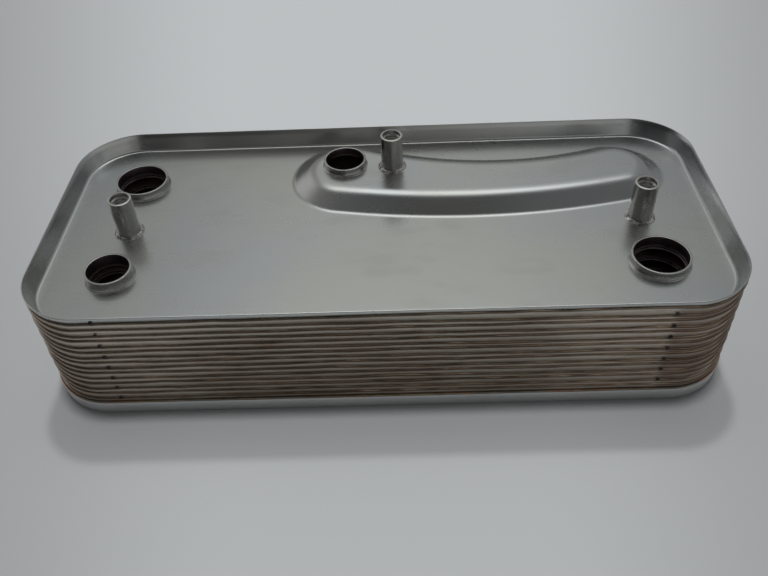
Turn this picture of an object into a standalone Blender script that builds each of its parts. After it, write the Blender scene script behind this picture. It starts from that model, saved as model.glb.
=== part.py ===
"""Brazed plate heat exchanger: nested pressed trays, port collars and threaded mounting bosses.

Metres. X runs along the plates, Y to the back, Z up from the underside of the base plate.
"""
import math
from dataclasses import dataclass

import bmesh
import bpy
from mathutils import Vector

# Plates: plan size over the outside of the cover plate's rim edge, and how the trays stack.
LENGTH = 0.1900
WIDTH = 0.0849
CORNER_RADIUS = 0.0180
CHANNEL_PLATES = 14
PLATE_PITCH = 0.00206         # floor to floor, from the base plate up to the end plate
SHEET = 0.00040               # every pressed plate but the base plate
BASE_SHEET = 0.00050
RIM_GAP = 0.00022             # between two nested rims, square to the wall
SEAT_GAP = 0.00025            # between flat faces that lie on each other

# Rim heights, each from its own plate's floor.
COVER_RIM = 0.0054
END_RIM = 0.0044
CHANNEL_RIM = 0.0040
RIM_STAGGER = 0.0002          # every second channel plate stands this much taller
BASE_RIM = 0.0042
FOLD_RADIUS = 0.0013          # inside the bend of the cover plate and the base plate

# Herringbone pressed into the channel plates and the base plate.
WAVE_SPACING = 0.0120
WAVE_ANGLE = math.radians(30)
WAVE_END = 0.0022             # length over which a wave runs out at the long sides
WAVE_SIDE_MARGIN = 0.0050     # flat strip between the waves and the fold
WAVE_PORT_MARGIN = 0.0012     # flat strip between the waves and a port seat
CONTACT_GAP = 0.00030         # over a crest, below the next plate

# Ports: bore radius, place of the four corner ports, and the seats pressed round them.
LARGE_PORT = 0.00725
SMALL_PORT = 0.00575
PORT_END_INSET = 0.0208       # port centre from the plate's end
PORT_SIDE_INSET = 0.02155     # port centre from the plate's long side
SEAT_WIDTH = 0.0024

# The duct pressed up in the cover, from the hidden corner port to the transfer port.
TRANSFER_PORT_X = -0.0113
TRANSFER_PORT_INSET = 0.01945 # from the plate's back side
DUCT_HEIGHT = 0.0033
DUCT_SLOPE = math.radians(32.5)
DUCT_FILLET = 0.0020
DUCT_START_HALF_WIDTH = 0.0111
DUCT_WAIST_HALF_WIDTH = 0.0078
DUCT_END_HALF_WIDTH = 0.00765
DUCT_SAG = 0.00595            # how far the middle bows to the front
DUCT_START_SHIFT = Vector((0.0008, -0.0014))
DUCT_END_SHIFT = Vector((-0.0034, -0.0010))

# Port collars.
COLLAR_WALL = 0.00065
LARGE_COLLAR_HEIGHT = 0.0022
SMALL_COLLAR_HEIGHT = 0.0028
COLLAR_FOOT_WIDTH = 0.0008
COLLAR_FOOT_HEIGHT = 0.0008

# Threaded bosses.
BOSS_RADIUS = 0.0033
BOSS_HEIGHT = 0.0116
BOSS_MOUTH = 0.00262
BOSS_BORE = 0.0021
BOSS_BORE_DEPTH = 0.0090
WELD_WIDTH = 0.0011
WELD_HEIGHT = 0.0009
BOSS_END_INSET = 0.0216
SIDE_BOSS_Y = -0.0015
CENTRE_BOSS_X = 0.0031
CENTRE_BOSS_INSET = 0.02105   # from the plate's back side

# Copper bead along the base plate's rim edge.
BEAD_WIDTH = 0.00045
BEAD_HEIGHT = 0.00045
BEAD_GAP = 0.00010

# Facets.
RIM_TURNS = 5                 # round each corner of an inner plate
COVER_TURNS = 7               # round each corner of the cover plate
PLATE_PORT_SEGMENTS = 8
COVER_PORT_SEGMENTS = 14
DUCT_SIDE_SEGMENTS = 7
DUCT_END_SEGMENTS = 7
TURNED_SEGMENTS = 12

# Nested rims keep their gap when they flare at this angle from the vertical.
FLARE = math.asin((SHEET + RIM_GAP) / PLATE_PITCH)
FLAT_DROP = SHEET + SEAT_GAP
WAVE_HEIGHT = PLATE_PITCH - SHEET - CONTACT_GAP

# Floor levels, each the upper face of the plate's floor.
BASE_FLOOR = BASE_SHEET
END_FLOOR = BASE_FLOOR + (CHANNEL_PLATES + 1) * PLATE_PITCH
COVER_FLOOR = END_FLOOR + FLAT_DROP

STEEL = (0.52, 0.53, 0.52)
TINTED_STEEL = (0.36, 0.31, 0.27)
COPPER = (0.62, 0.38, 0.20)
ROUGHNESS = 0.35


@dataclass(frozen=True)
class Outline:
    """A rounded rectangle round the origin."""

    half_length: float
    half_width: float
    radius: float

    def grown(self, offset):
        return Outline(self.half_length + offset, self.half_width + offset, self.radius + offset)

    def points(self, turns):
        """Return the outline counter-clockwise, with this many equal turns round each corner.

        Every facet touches the true corner arc, so outlines with more and with fewer turns nest.
        """
        corner_x = self.half_length - self.radius
        corner_y = self.half_width - self.radius
        centres = ((corner_x, corner_y), (-corner_x, corner_y), (-corner_x, -corner_y), (corner_x, -corner_y))
        reach = self.radius / math.cos(math.pi / 4 / turns)
        points = []
        for quarter, centre in enumerate(centres):
            for turn in range(turns):
                angle = math.pi / 2 * (quarter + (turn + 0.5) / turns)
                points.append(Vector(centre) + Vector((math.cos(angle), math.sin(angle))) * reach)
        return points


# Where each tray's floor would meet its wall if the fold were sharp, on the upper and inner face.
RIM_OUTLINE = Outline(LENGTH / 2, WIDTH / 2, CORNER_RADIUS)
COVER_FOLD = RIM_OUTLINE.grown(-SHEET / math.cos(FLARE) - COVER_RIM * math.tan(FLARE))
STACK_FOLD = COVER_FOLD.grown((SHEET + RIM_GAP) / math.cos(FLARE) - FLAT_DROP * math.tan(FLARE))

PORT_X = LENGTH / 2 - PORT_END_INSET
PORT_Y = WIDTH / 2 - PORT_SIDE_INSET
CORNER_PORTS = {
    "back_left": (Vector((-PORT_X, PORT_Y)), LARGE_PORT),
    "front_left": (Vector((-PORT_X, -PORT_Y)), SMALL_PORT),
    "front_right": (Vector((PORT_X, -PORT_Y)), LARGE_PORT),
    "back_right": (Vector((PORT_X, PORT_Y)), SMALL_PORT),
}
TRANSFER_PORT = Vector((TRANSFER_PORT_X, WIDTH / 2 - TRANSFER_PORT_INSET))


def clear_scene():
    for item in list(bpy.data.objects):
        bpy.data.objects.remove(item, do_unlink=True)


def make_metal(name, colour):
    material = bpy.data.materials.new(name)
    material.use_nodes = True
    shader = material.node_tree.nodes["Principled BSDF"]
    shader.inputs["Base Color"].default_value = (*colour, 1.0)
    shader.inputs["Metallic"].default_value = 1.0
    shader.inputs["Roughness"].default_value = ROUGHNESS
    return material


def finish_object(name, bm, assembly, height, colour, place=(0.0, 0.0)):
    """Turn a mesh into a named, shaded object that stands on the assembly at this height."""
    mesh = bpy.data.meshes.new(name)
    bm.to_mesh(mesh)
    bm.free()
    mesh.shade_smooth()
    mesh.set_sharp_from_angle(angle=math.radians(28))
    item = bpy.data.objects.new(name, mesh)
    item.location = (place[0], place[1], height)
    item.parent = assembly
    item.data.materials.append(make_metal(f"{name}_metal", colour))
    bpy.context.collection.objects.link(item)
    return item


def add_ring(bm, points, height):
    return [bm.verts.new((point[0], point[1], height)) for point in points]


def join_ring(bm, ring):
    """Add the edges round a closed ring and return them."""
    return [bm.edges.new((vertex, ring[index - 1])) for index, vertex in enumerate(ring)]


def skin(bm, rings):
    """Span quads between each closed ring and the next."""
    for lower, upper in zip(rings, rings[1:]):
        for index in range(len(lower)):
            bm.faces.new((lower[index - 1], lower[index], upper[index], upper[index - 1]))


def ring_edges(bm, ring):
    """Return the edges round a ring whose faces are already there."""
    return [bm.edges.get((vertex, ring[index - 1])) for index, vertex in enumerate(ring)]


def circle(centre, radius, segments):
    turns = (2 * math.pi * step / segments for step in range(segments))
    return [centre + Vector((math.cos(turn), math.sin(turn))) * radius for turn in turns]


def rim_profile(rim, fold_radius, steps):
    """Return (outward offset, height) from the floor, round the fold and up the flared wall."""
    edge = (rim * math.tan(FLARE), rim)
    if not fold_radius:
        return [(0.0, 0.0), edge]
    turn = math.pi / 2 - FLARE
    start = -fold_radius * math.tan(turn / 2)
    bend = []
    for step in range(steps + 1):
        angle = turn * step / steps
        bend.append((start + fold_radius * math.sin(angle), fold_radius * (1 - math.cos(angle))))
    return bend + [edge]


def add_rim(bm, fold, rim, turns, fold_radius=0.0, steps=2):
    """Skin a flared rim and return the edges where its floor starts."""
    rings = [
        add_ring(bm, fold.grown(offset).points(turns), height)
        for offset, height in rim_profile(rim, fold_radius, steps)
    ]
    skin(bm, rings)
    return ring_edges(bm, rings[0])


def add_port(bm, centre, radius, segments, seat_height=0.0):
    """Add a port's hole, on a dished seat where it has one, and return the floor's edges round it."""
    if not seat_height:
        return join_ring(bm, add_ring(bm, circle(centre, radius, segments), 0.0))
    foot = add_ring(bm, circle(centre, radius + SEAT_WIDTH, segments), 0.0)
    hole = add_ring(bm, circle(centre, radius, segments), seat_height)
    skin(bm, [hole, foot])
    return ring_edges(bm, foot)


def fill_floor(bm, edges):
    bmesh.ops.triangle_fill(bm, use_beauty=True, edges=edges, normal=(0.0, 0.0, 1.0))


def thicken(name, bm, sheet, *placing):
    """Make the open skin a sheet of this thickness, which grows downwards from its upper face."""
    bmesh.ops.recalc_face_normals(bm, faces=bm.faces)
    if sum(face.normal.z * face.calc_area() for face in bm.faces) < 0:
        bmesh.ops.reverse_faces(bm, faces=bm.faces)
    item = finish_object(name, bm, *placing)
    shell = item.modifiers.new("sheet", "SOLIDIFY")
    shell.thickness = sheet
    shell.offset = -1.0
    shell.use_even_offset = True
    return item


def wave_span():
    """Return where the herringbone starts and ends on the centre line, and its half width."""
    slant = math.tan(WAVE_ANGLE)
    seat = LARGE_PORT + SEAT_WIDTH + WAVE_PORT_MARGIN
    reach = seat * math.hypot(1.0, slant)
    start = -PORT_X - slant * PORT_Y + reach
    end = PORT_X - slant * PORT_Y - reach
    return start, end, STACK_FOLD.half_width - WAVE_SIDE_MARGIN


def add_herringbone(bm, direction):
    """Press V-shaped waves between the ports, pointing along -X or +X, and return their border."""
    start, end, half_width = wave_span()
    slant = math.tan(WAVE_ANGLE)
    waves = int((end - start) / WAVE_SPACING)
    first = (start + end - waves * WAVE_SPACING) / 2

    def fold_line(x, reach, height):
        places = ((x + slant * reach, -reach), (x, 0.0), (x + slant * reach, reach))
        return [bm.verts.new((direction * place[0], place[1], height)) for place in places]

    valleys = [fold_line(first + wave * WAVE_SPACING, half_width, 0.0) for wave in range(waves + 1)]
    for wave, (before, after) in enumerate(zip(valleys, valleys[1:])):
        crest = fold_line(first + (wave + 0.5) * WAVE_SPACING, half_width - WAVE_END, WAVE_HEIGHT)
        for side in (0, 1):
            bm.faces.new((before[side], before[side + 1], crest[side + 1], crest[side]))
            bm.faces.new((crest[side], crest[side + 1], after[side + 1], after[side]))
        for side in (0, 2):
            bm.faces.new((before[side], crest[side], after[side]))
    border = [bm.edges.get((line[side], line[side + 1])) for line in (valleys[0], valleys[-1]) for side in (0, 1)]
    for before, after in zip(valleys, valleys[1:]):
        border += [bm.edges.get((before[side], after[side])) for side in (0, 2)]
    return border


def make_channel_plate(name, assembly, floor, points_left):
    """One herringbone plate: it seals two ports with dished seats and leaves the other two open."""
    sealed = ("back_left", "front_right") if points_left else ("front_left", "back_right")
    rim = CHANNEL_RIM - RIM_STAGGER / 2 if points_left else CHANNEL_RIM + RIM_STAGGER / 2
    bm = bmesh.new()
    edges = add_rim(bm, STACK_FOLD, rim, RIM_TURNS)
    for corner, (centre, radius) in CORNER_PORTS.items():
        seat_height = WAVE_HEIGHT if corner in sealed else 0.0
        edges += add_port(bm, centre, radius, PLATE_PORT_SEGMENTS, seat_height)
    edges += add_herringbone(bm, 1.0 if points_left else -1.0)
    fill_floor(bm, edges)
    return thicken(name, bm, SHEET, assembly, floor, TINTED_STEEL)


def make_end_plate(assembly):
    """The flat plate under the cover, which closes the duct from below."""
    bm = bmesh.new()
    edges = add_rim(bm, STACK_FOLD, END_RIM, RIM_TURNS)
    for centre, radius in CORNER_PORTS.values():
        edges += add_port(bm, centre, radius, PLATE_PORT_SEGMENTS)
    fill_floor(bm, edges)
    return thicken("end_plate", bm, SHEET, assembly, END_FLOOR, TINTED_STEEL)


def make_base_plate(assembly):
    """The blind plate: it closes the stack below, and its waves carry the lowest channel plate."""
    bm = bmesh.new()
    edges = add_rim(bm, STACK_FOLD, BASE_RIM, RIM_TURNS, FOLD_RADIUS)
    fill_floor(bm, edges + add_herringbone(bm, 1.0))
    return thicken("base_plate", bm, BASE_SHEET, assembly, BASE_FLOOR, STEEL)


def duct_wall():
    """Return (outward offset from the roof's edge, height) down the duct's rounded wall."""
    side = DUCT_FILLET * math.sin(DUCT_SLOPE)
    rise = DUCT_FILLET * (1 - math.cos(DUCT_SLOPE))
    run = 2 * side + (DUCT_HEIGHT - 2 * rise) / math.tan(DUCT_SLOPE)
    return [(0.0, DUCT_HEIGHT), (side, DUCT_HEIGHT - rise), (run - side, rise), (run, 0.0)]


def duct_section(share):
    """Return the duct's centre, its direction and its roof's half width at this share of its length."""
    start = TRANSFER_PORT + DUCT_START_SHIFT
    end = CORNER_PORTS["back_right"][0] + DUCT_END_SHIFT
    bow = Vector((0.0, -4 * DUCT_SAG))
    centre = start.lerp(end, share) + bow * share * (1 - share)
    direction = (end - start + bow * (1 - 2 * share)).normalized()
    half_width = (
        DUCT_START_HALF_WIDTH * (1 - share) * (1 - 2 * share)
        + DUCT_WAIST_HALF_WIDTH * 4 * share * (1 - share)
        + DUCT_END_HALF_WIDTH * share * (2 * share - 1)
    )
    return centre, direction, half_width


def duct_outline(offset):
    """Return the duct's outline, this far outside its roof's edge, counter-clockwise."""
    front, back = [], []
    for step in range(DUCT_SIDE_SEGMENTS + 1):
        centre, direction, half_width = duct_section(step / DUCT_SIDE_SEGMENTS)
        across = Vector((-direction.y, direction.x)) * (half_width + offset)
        front.append(centre - across)
        back.append(centre + across)

    def round_end(share, first_turn):
        centre, direction, half_width = duct_section(share)
        heading = math.atan2(direction.y, direction.x) + first_turn
        turns = [heading + math.pi * step / DUCT_END_SEGMENTS for step in range(1, DUCT_END_SEGMENTS)]
        return [centre + Vector((math.cos(turn), math.sin(turn))) * (half_width + offset) for turn in turns]

    return front + round_end(1.0, -math.pi / 2) + back[::-1] + round_end(0.0, math.pi / 2)


def make_cover_plate(assembly):
    """The top tray, with the transfer duct pressed up in its floor."""
    bm = bmesh.new()
    edges = add_rim(bm, COVER_FOLD, COVER_RIM, COVER_TURNS, FOLD_RADIUS)
    for corner in ("back_left", "front_left", "front_right"):
        edges += add_port(bm, *CORNER_PORTS[corner], COVER_PORT_SEGMENTS)
    rings = [add_ring(bm, duct_outline(offset), height) for offset, height in duct_wall()]
    skin(bm, rings)
    fill_floor(bm, edges + ring_edges(bm, rings[-1]))
    hole = add_ring(bm, circle(TRANSFER_PORT, SMALL_PORT, COVER_PORT_SEGMENTS), DUCT_HEIGHT)
    fill_floor(bm, ring_edges(bm, rings[0]) + join_ring(bm, hole))
    return thicken("cover_plate", bm, SHEET, assembly, COVER_FLOOR, STEEL)


def turn_profile(profile, closed):
    """Spin (radius, height) points, listed counter-clockwise, into a solid round Z."""
    bm = bmesh.new()
    line = [bm.verts.new((radius, 0.0, height)) for radius, height in profile]
    edges = [bm.edges.new(pair) for pair in zip(line, line[1:])]
    if closed:
        edges.append(bm.edges.new((line[-1], line[0])))
    bmesh.ops.spin(
        bm, geom=line + edges, cent=(0.0, 0.0, 0.0), axis=(0.0, 0.0, 1.0), angle=2 * math.pi, steps=TURNED_SEGMENTS
    )
    bmesh.ops.remove_doubles(bm, verts=bm.verts, dist=1e-6)
    bmesh.ops.recalc_face_normals(bm, faces=bm.faces)
    return bm


def make_collar(name, assembly, place, bore, collar_height, seat):
    """A short tube for a port, with a foot brazed round its base."""
    wall = bore + COLLAR_WALL
    foot = wall + COLLAR_FOOT_WIDTH
    profile = [
        (bore, 0.0),
        (foot, 0.0),
        (foot, COLLAR_FOOT_HEIGHT / 2),
        (wall, COLLAR_FOOT_HEIGHT),
        (wall, collar_height),
        (bore, collar_height),
    ]
    bm = turn_profile(profile, closed=True)
    return finish_object(name, bm, assembly, seat + SEAT_GAP, STEEL, place)


def make_boss(name, assembly, place, seat):
    """A blind threaded boss with the ring of weld that holds it."""
    weld = BOSS_RADIUS + WELD_WIDTH
    bore_floor = BOSS_HEIGHT - BOSS_BORE_DEPTH
    mouth_depth = BOSS_MOUTH - BOSS_BORE
    profile = [
        (0.0, 0.0),
        (weld, 0.0),
        (weld, WELD_HEIGHT / 2),
        (BOSS_RADIUS, WELD_HEIGHT),
        (BOSS_RADIUS, BOSS_HEIGHT),
        (BOSS_MOUTH, BOSS_HEIGHT),
        (BOSS_BORE, BOSS_HEIGHT - mouth_depth),
        (BOSS_BORE, bore_floor),
        (0.0, bore_floor),
    ]
    bm = turn_profile(profile, closed=False)
    return finish_object(name, bm, assembly, seat + SEAT_GAP, STEEL, place)


def make_braze_bead(assembly):
    """The copper that shows along the base plate's rim edge, against the lowest channel plate."""
    rim_edge = BASE_FLOOR + BASE_RIM
    bottom = rim_edge + BEAD_GAP
    lowest_floor = BASE_FLOOR + PLATE_PITCH
    plate_face = SHEET / math.cos(FLARE) + (bottom + BEAD_HEIGHT - lowest_floor) * math.tan(FLARE)
    inner = STACK_FOLD.grown(plate_face + BEAD_GAP)
    outer = inner.grown(BEAD_WIDTH)
    bm = bmesh.new()
    sections = ((inner, 0.0), (outer, 0.0), (outer, BEAD_HEIGHT), (inner, BEAD_HEIGHT))
    rings = [add_ring(bm, outline.points(RIM_TURNS), height) for outline, height in sections]
    skin(bm, rings + rings[:1])
    bmesh.ops.recalc_face_normals(bm, faces=bm.faces)
    return finish_object("braze_bead", bm, assembly, bottom, COPPER)


def make_assembly():
    assembly = bpy.data.objects.new("heat_exchanger", None)
    bpy.context.collection.objects.link(assembly)
    make_base_plate(assembly)
    make_braze_bead(assembly)
    for number in range(1, CHANNEL_PLATES + 1):
        floor = END_FLOOR - number * PLATE_PITCH
        make_channel_plate(f"channel_plate_{number:02d}", assembly, floor, number % 2 == 1)
    make_end_plate(assembly)
    make_cover_plate(assembly)

    duct_roof = COVER_FLOOR + DUCT_HEIGHT
    for corner, height in (
        ("back_left", LARGE_COLLAR_HEIGHT),
        ("front_left", SMALL_COLLAR_HEIGHT),
        ("front_right", LARGE_COLLAR_HEIGHT),
    ):
        make_collar(f"port_collar_{corner}", assembly, *CORNER_PORTS[corner], height, COVER_FLOOR)
    make_collar("port_collar_transfer", assembly, TRANSFER_PORT, SMALL_PORT, SMALL_COLLAR_HEIGHT, duct_roof)

    end_boss_x = LENGTH / 2 - BOSS_END_INSET
    make_boss("threaded_boss_left", assembly, (-end_boss_x, SIDE_BOSS_Y), COVER_FLOOR)
    make_boss("threaded_boss_right", assembly, (end_boss_x, SIDE_BOSS_Y), COVER_FLOOR)
    make_boss("threaded_boss_centre", assembly, (CENTRE_BOSS_X, WIDTH / 2 - CENTRE_BOSS_INSET), duct_roof)


clear_scene()
make_assembly()
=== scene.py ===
# %% [markdown]
# # Brazed plate heat exchanger
# The real object is a stack of thin pressed steel trays, nested and brazed together with copper.
# The top tray carries a pressed duct, four port collars and three threaded bosses.
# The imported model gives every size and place, so this script reads it first and dresses it.

import math
import random

import bmesh
import bpy
from mathutils import Matrix, Vector, noise


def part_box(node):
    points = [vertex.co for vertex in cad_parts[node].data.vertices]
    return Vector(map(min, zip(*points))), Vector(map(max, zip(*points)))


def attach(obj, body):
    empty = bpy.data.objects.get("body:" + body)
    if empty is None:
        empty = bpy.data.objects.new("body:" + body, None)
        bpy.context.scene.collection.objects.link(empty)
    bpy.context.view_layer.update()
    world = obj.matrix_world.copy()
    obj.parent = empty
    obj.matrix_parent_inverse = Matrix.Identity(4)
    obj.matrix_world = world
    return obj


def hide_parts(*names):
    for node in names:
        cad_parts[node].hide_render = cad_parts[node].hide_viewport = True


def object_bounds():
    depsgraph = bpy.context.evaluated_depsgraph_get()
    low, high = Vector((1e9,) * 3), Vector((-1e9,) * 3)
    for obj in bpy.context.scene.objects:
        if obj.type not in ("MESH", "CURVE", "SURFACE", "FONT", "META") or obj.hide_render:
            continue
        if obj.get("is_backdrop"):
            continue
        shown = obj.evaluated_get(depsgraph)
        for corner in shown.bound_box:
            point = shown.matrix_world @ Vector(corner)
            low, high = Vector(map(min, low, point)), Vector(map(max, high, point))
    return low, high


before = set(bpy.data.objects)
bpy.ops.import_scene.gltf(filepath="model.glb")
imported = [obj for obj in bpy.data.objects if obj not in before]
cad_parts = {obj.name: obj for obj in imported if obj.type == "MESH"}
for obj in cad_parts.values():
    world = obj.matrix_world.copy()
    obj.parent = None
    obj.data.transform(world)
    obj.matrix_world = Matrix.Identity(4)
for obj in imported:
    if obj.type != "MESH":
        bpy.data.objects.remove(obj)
cad_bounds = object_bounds()
MM = 0.001
print("parts in the frame:", len(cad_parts))

# %% [markdown]
# ## Sizes
# The trays share the same four corner centres, so one pair of numbers places every rounded corner.
# Their walls lean outwards by the flare angle, which is what lets them nest.
# Sizes that a node's box gives are read from the box.

# %% Name the shared sizes
SHEET = 0.40 * MM
BASE_SHEET = 0.50 * MM
FLARE = math.radians(17.52)
CORNER_X = 77.0 * MM
CORNER_Y = 24.45 * MM
CORNER_TURNS = 14
WAVE_HEIGHT = 1.36 * MM
SAME_PLACE = 1e-6

PORTS = {
    "back_left": (Vector((-74.2, 20.9)) * MM, 7.25 * MM),
    "front_left": (Vector((-74.2, -20.9)) * MM, 5.75 * MM),
    "front_right": (Vector((74.2, -20.9)) * MM, 7.25 * MM),
    "back_right": (Vector((74.2, 20.9)) * MM, 5.75 * MM),
}
TRANSFER = (Vector((-11.3, 23.0)) * MM, 5.75 * MM)


def floor_level(node, sheet=SHEET):
    """The upper face of a tray's floor: its box starts one sheet lower."""
    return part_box(node)[0].z + sheet


COVER_FLOOR = floor_level("cover_plate")
COVER_RIM_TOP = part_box("cover_plate")[1].z
print("cover floor at", round(COVER_FLOOR / MM, 2), "mm, rim top at", round(COVER_RIM_TOP / MM, 2), "mm")

# %% [markdown]
# ## Working by hand, in code
# An operator acts on everything that is selected, and a new primitive comes in fully selected.
# These helpers deselect first, then pick edges by their place, as a hand with a mouse would.

# %% Selection helpers
def select_only(*pieces):
    """Select these objects and nothing else. The first one becomes active."""
    bpy.ops.object.select_all(action="DESELECT")
    for piece in pieces:
        piece.select_set(True)
    bpy.context.view_layer.objects.active = pieces[0]


def start_editing(piece):
    select_only(piece)
    bpy.ops.object.mode_set(mode="EDIT")


def stop_editing():
    bpy.ops.object.mode_set(mode="OBJECT")


def pick_edges(piece, test):
    """Select the edges that pass a test, and nothing else."""
    bpy.ops.mesh.select_mode(type="EDGE")
    bpy.ops.mesh.select_all(action="DESELECT")
    mesh = bmesh.from_edit_mesh(piece.data)
    for edge in mesh.edges:
        if test(edge):
            edge.select_set(True)
    mesh.select_flush_mode()
    bmesh.update_edit_mesh(piece.data)


def each_vertex(piece):
    """Give the vertices being edited one by one, and update the mesh after the last."""
    mesh = bmesh.from_edit_mesh(piece.data)
    yield from mesh.verts
    bmesh.update_edit_mesh(piece.data)


bpy.ops.object.select_all(action="DESELECT")

# %% Piece helpers
def new_piece(name):
    """Name the primitive that was just added and put its place in its mesh."""
    piece = bpy.context.object
    piece.name = piece.data.name = name
    bpy.ops.object.transform_apply(location=True, rotation=True, scale=True)
    return piece


def join_pieces(main, others):
    select_only(main, *others)
    bpy.ops.object.join()


def apply_modifier(piece, kind, **settings):
    modifier = piece.modifiers.new(kind.lower(), kind)
    for key, value in settings.items():
        setattr(modifier, key, value)
    select_only(piece)
    bpy.ops.object.modifier_apply(modifier=modifier.name)


def dull_edges(piece, width):
    """Bevel the sharp edges a little."""
    apply_modifier(piece, "BEVEL", width=width, segments=2, limit_method="ANGLE", angle_limit=math.radians(50))


def smooth(piece, angle=35):
    """Shade smoothly, except across edges sharper than this."""
    select_only(piece)
    bpy.ops.object.shade_smooth_by_angle(angle=math.radians(angle))


def size_of(piece):
    return [round(side / MM, 2) for side in piece.dimensions]


print("meshes before modelling:", len(bpy.data.meshes))

# %% [markdown]
# ## A pressed tray
# A tray is pressed from one flat sheet, so it is modelled as one skin that gets its thickness last.
# It could be extruded up from the floor. Starting at the rim is easier: a plane is rounded at its corners,
# then inset again and again, each time a little further in and down, which draws the wall and the fold.

# %% Tray walls
SUPPORT = 0.15 * MM
RIM_SHARE = 0.3
LONG_SIDE = 100 * MM
SHORT_SIDE = 30 * MM


def wall_profile(height, fold_radius, steps, flare):
    """List (distance in from the rim, height over the floor) down the wall and round the fold.

    A narrow flat strip comes last, so that the fold's shading doesn't spread over the floor.
    """
    foot = height * math.tan(flare)
    turn = math.pi / 2 - flare
    reach = fold_radius * math.tan(turn / 2)
    profile = [(0.0, height), (foot * RIM_SHARE, height * (1 - RIM_SHARE))]
    for step in range(steps + 1):
        angle = turn * (1 - step / steps)
        profile.append((foot + reach - fold_radius * math.sin(angle), fold_radius * (1 - math.cos(angle))))
    profile.append((profile[-1][0] + SUPPORT, 0.0))
    return profile


def add_rounded_plane(name, half_length, half_width, height, long_cuts, short_cuts):
    """A flat face with round corners, whose straight sides are cut fine enough to be bent a little."""
    bpy.ops.object.select_all(action="DESELECT")
    bpy.ops.mesh.primitive_plane_add(size=2, location=(0, 0, height))
    bpy.context.object.scale = (half_length, half_width, 1)
    piece = new_piece(name)
    start_editing(piece)
    bpy.ops.mesh.select_all(action="SELECT")
    bpy.ops.mesh.bevel(offset=half_length - CORNER_X, segments=CORNER_TURNS, affect="VERTICES")
    bpy.ops.mesh.delete(type="ONLY_FACE")
    for shortest, cuts in ((LONG_SIDE, long_cuts), (SHORT_SIDE, short_cuts)):
        pick_edges(piece, lambda edge: edge.calc_length() > shortest)
        bpy.ops.mesh.subdivide(number_cuts=cuts)
    bpy.ops.mesh.select_all(action="SELECT")
    bpy.ops.mesh.edge_face_add()
    if bmesh.from_edit_mesh(piece.data).faces[:][0].normal.z < 0:
        bpy.ops.mesh.flip_normals()
    return piece


def press_tray(name, node, sheet, fold_radius, fold_steps, long_cuts=26, short_cuts=8, flare=FLARE):
    """Press the walls of a tray that fits a node's box. Its floor is still an open hole."""
    low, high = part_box(node)
    lean = sheet * math.cos(flare)
    piece = add_rounded_plane(name, high.x - lean, high.y - lean, high.z, long_cuts, short_cuts)
    profile = wall_profile(high.z - low.z - sheet, fold_radius, fold_steps, flare)
    for (before, above), (after, below) in zip(profile, profile[1:]):
        bpy.ops.mesh.inset(thickness=after - before, depth=below - above)
    bpy.ops.mesh.delete(type="FACE")
    return piece


print("a tray wall has", len(wall_profile(5.4 * MM, 1.3 * MM, 6, FLARE)), "rings")

# %% [markdown]
# ### Ports and floors
# A port starts as a loose circle on the floor, and a dished seat is one more ring raised inside it.
# Filling between all the open edges at the floor's level then closes the floor and leaves the ports open.

# %% Ports and floors
SEAT_SLOPE = 2.4 * MM
PORT_SIDES = 48
COVER_PORT_SIDES = 64


def extrude_ring(centre, share, height, rise=0.0):
    """Extrude the selected ring up by rise, then scale it about its centre, which is at this height."""
    bpy.ops.mesh.extrude_edges_move(TRANSFORM_OT_translate={"value": (0, 0, rise)})
    bpy.ops.transform.resize(value=(share, share, 1), center_override=(centre.x, centre.y, height))


def add_port(centre, radius, floor, seat_height=0.0, sides=PORT_SIDES):
    """Add a port's edge to the tray being edited, on a dished seat where it has one."""
    foot = radius + (SEAT_SLOPE if seat_height else 0.0)
    bpy.ops.mesh.select_mode(type="VERT")
    bpy.ops.mesh.primitive_circle_add(vertices=sides, radius=foot, location=(centre.x, centre.y, floor))
    if seat_height:
        extrude_ring(centre, radius / foot, floor + seat_height, seat_height)


def is_open(edge, level):
    """True for an edge at this level that has a face on one side at most."""
    return len(edge.link_faces) < 2 and all(abs(vertex.co.z - level) < SAME_PLACE for vertex in edge.verts)


def fill_flat(piece, level):
    """Close a level floor between its outer edge and the holes in it."""
    pick_edges(piece, lambda edge: is_open(edge, level))
    bpy.ops.mesh.fill(use_beauty=True)


def ring_port(piece, centre, radius, level):
    """Draw a narrow flat ring inside a port's hole, so that its dulled edge doesn't tilt the floor's shading."""
    def on_hole(edge):
        return is_open(edge, level) and all(
            (vertex.co.xy - centre).length < radius + 2 * SUPPORT for vertex in edge.verts
        )

    pick_edges(piece, on_hole)
    extrude_ring(centre, radius / (radius + SUPPORT), level)


def face_up(piece):
    """Turn every face of an open skin the same way, with its upper side out."""
    bpy.ops.mesh.select_all(action="SELECT")
    bpy.ops.mesh.normals_make_consistent(inside=False)
    mesh = bmesh.from_edit_mesh(piece.data)
    if sum(face.normal.z * face.calc_area() for face in mesh.faces) < 0:
        bpy.ops.mesh.flip_normals()


print("a seat rises", round(WAVE_HEIGHT / MM, 2), "mm over", round(SEAT_SLOPE / MM, 2), "mm")

# %% [markdown]
# ## The cover's duct
# Water goes from the hidden back right port to the collar near the middle through a duct pressed up in the cover.
# Its centre line is a gentle bow and its width changes along it, so its outline is worked out here.
# The same outline, grown or shrunk, gives every ring of its rounded wall.

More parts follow.
